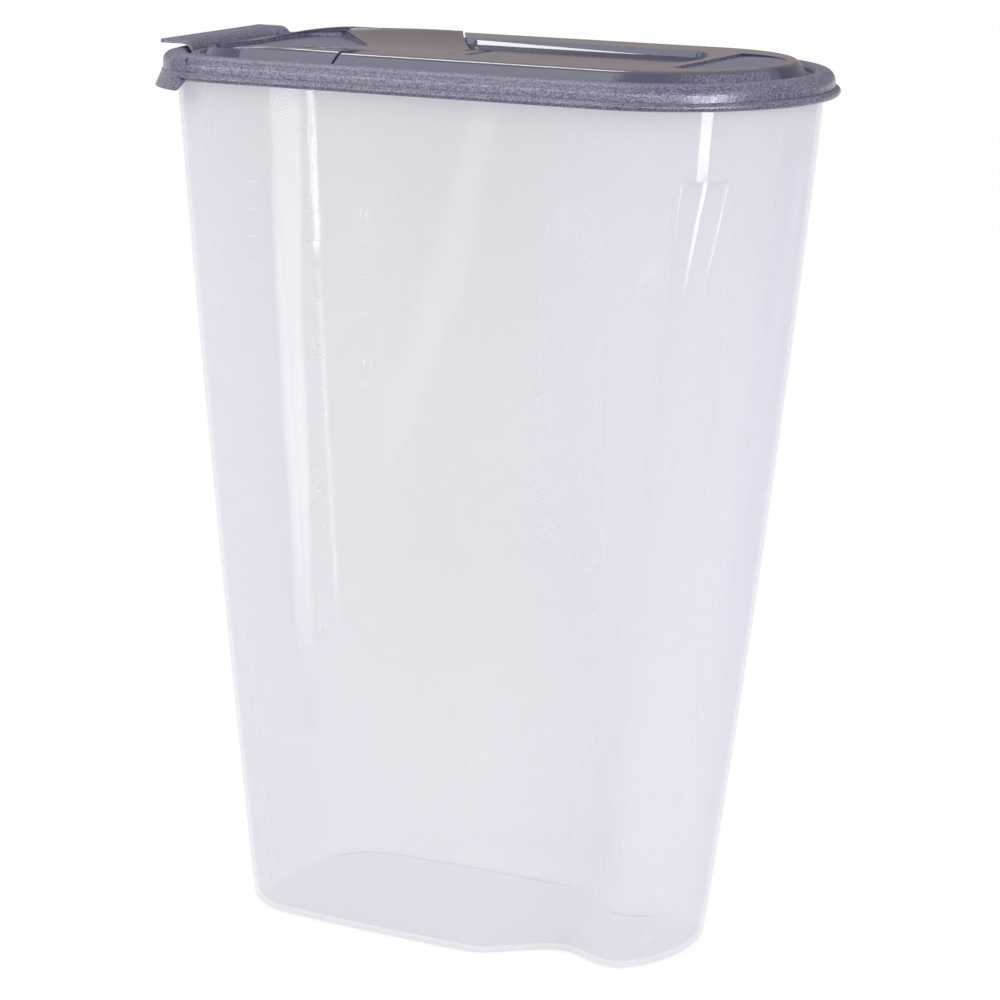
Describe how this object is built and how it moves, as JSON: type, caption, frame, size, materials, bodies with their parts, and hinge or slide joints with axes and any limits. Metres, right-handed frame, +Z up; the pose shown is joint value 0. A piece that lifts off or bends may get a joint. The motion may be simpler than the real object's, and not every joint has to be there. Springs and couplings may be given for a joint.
{
  "type": "cereal container with flip spout",
  "caption": "Tall tapered dry-food keeper in clear frosted plastic with a press-on smoke-tinted lid and a hinged flap over the pour opening.",
  "frame": {"origin": "centre of the whole object's box in plan, on the plane it stands on", "axes": "+Z up; X along the container, -X toward the pour end with the flap, +X toward the rounded grip end; Y across"},
  "size_m": [0.2418, 0.1114, 0.311],
  "materials": {
    "clear_frosted": "clear polypropylene with a faint frost",
    "smoke_lid": "smoke-blue tinted plastic, stippled on the rim and glossy on top",
    "smoke_flap": "smoke-blue tinted plastic, glossy with a stippled thumb scoop"
  },
  "bodies": {
    "container": {"container": "clear_frosted"},
    "lid": {"lid": "smoke_lid"},
    "flap": {"flip_door": "smoke_flap"}
  },
  "joints": [
    {"name": "lid_lift", "type": "slide", "parent": "container", "child": "lid", "axis": [0, 0, 1], "range_m": [0, 0.06]},
    {"name": "flap_hinge", "type": "hinge", "parent": "lid", "child": "flap", "pos_m": [-0.01135, 0, 0.3063], "axis": [0, 1, 0], "range_deg": [0, 110]}
  ]
}
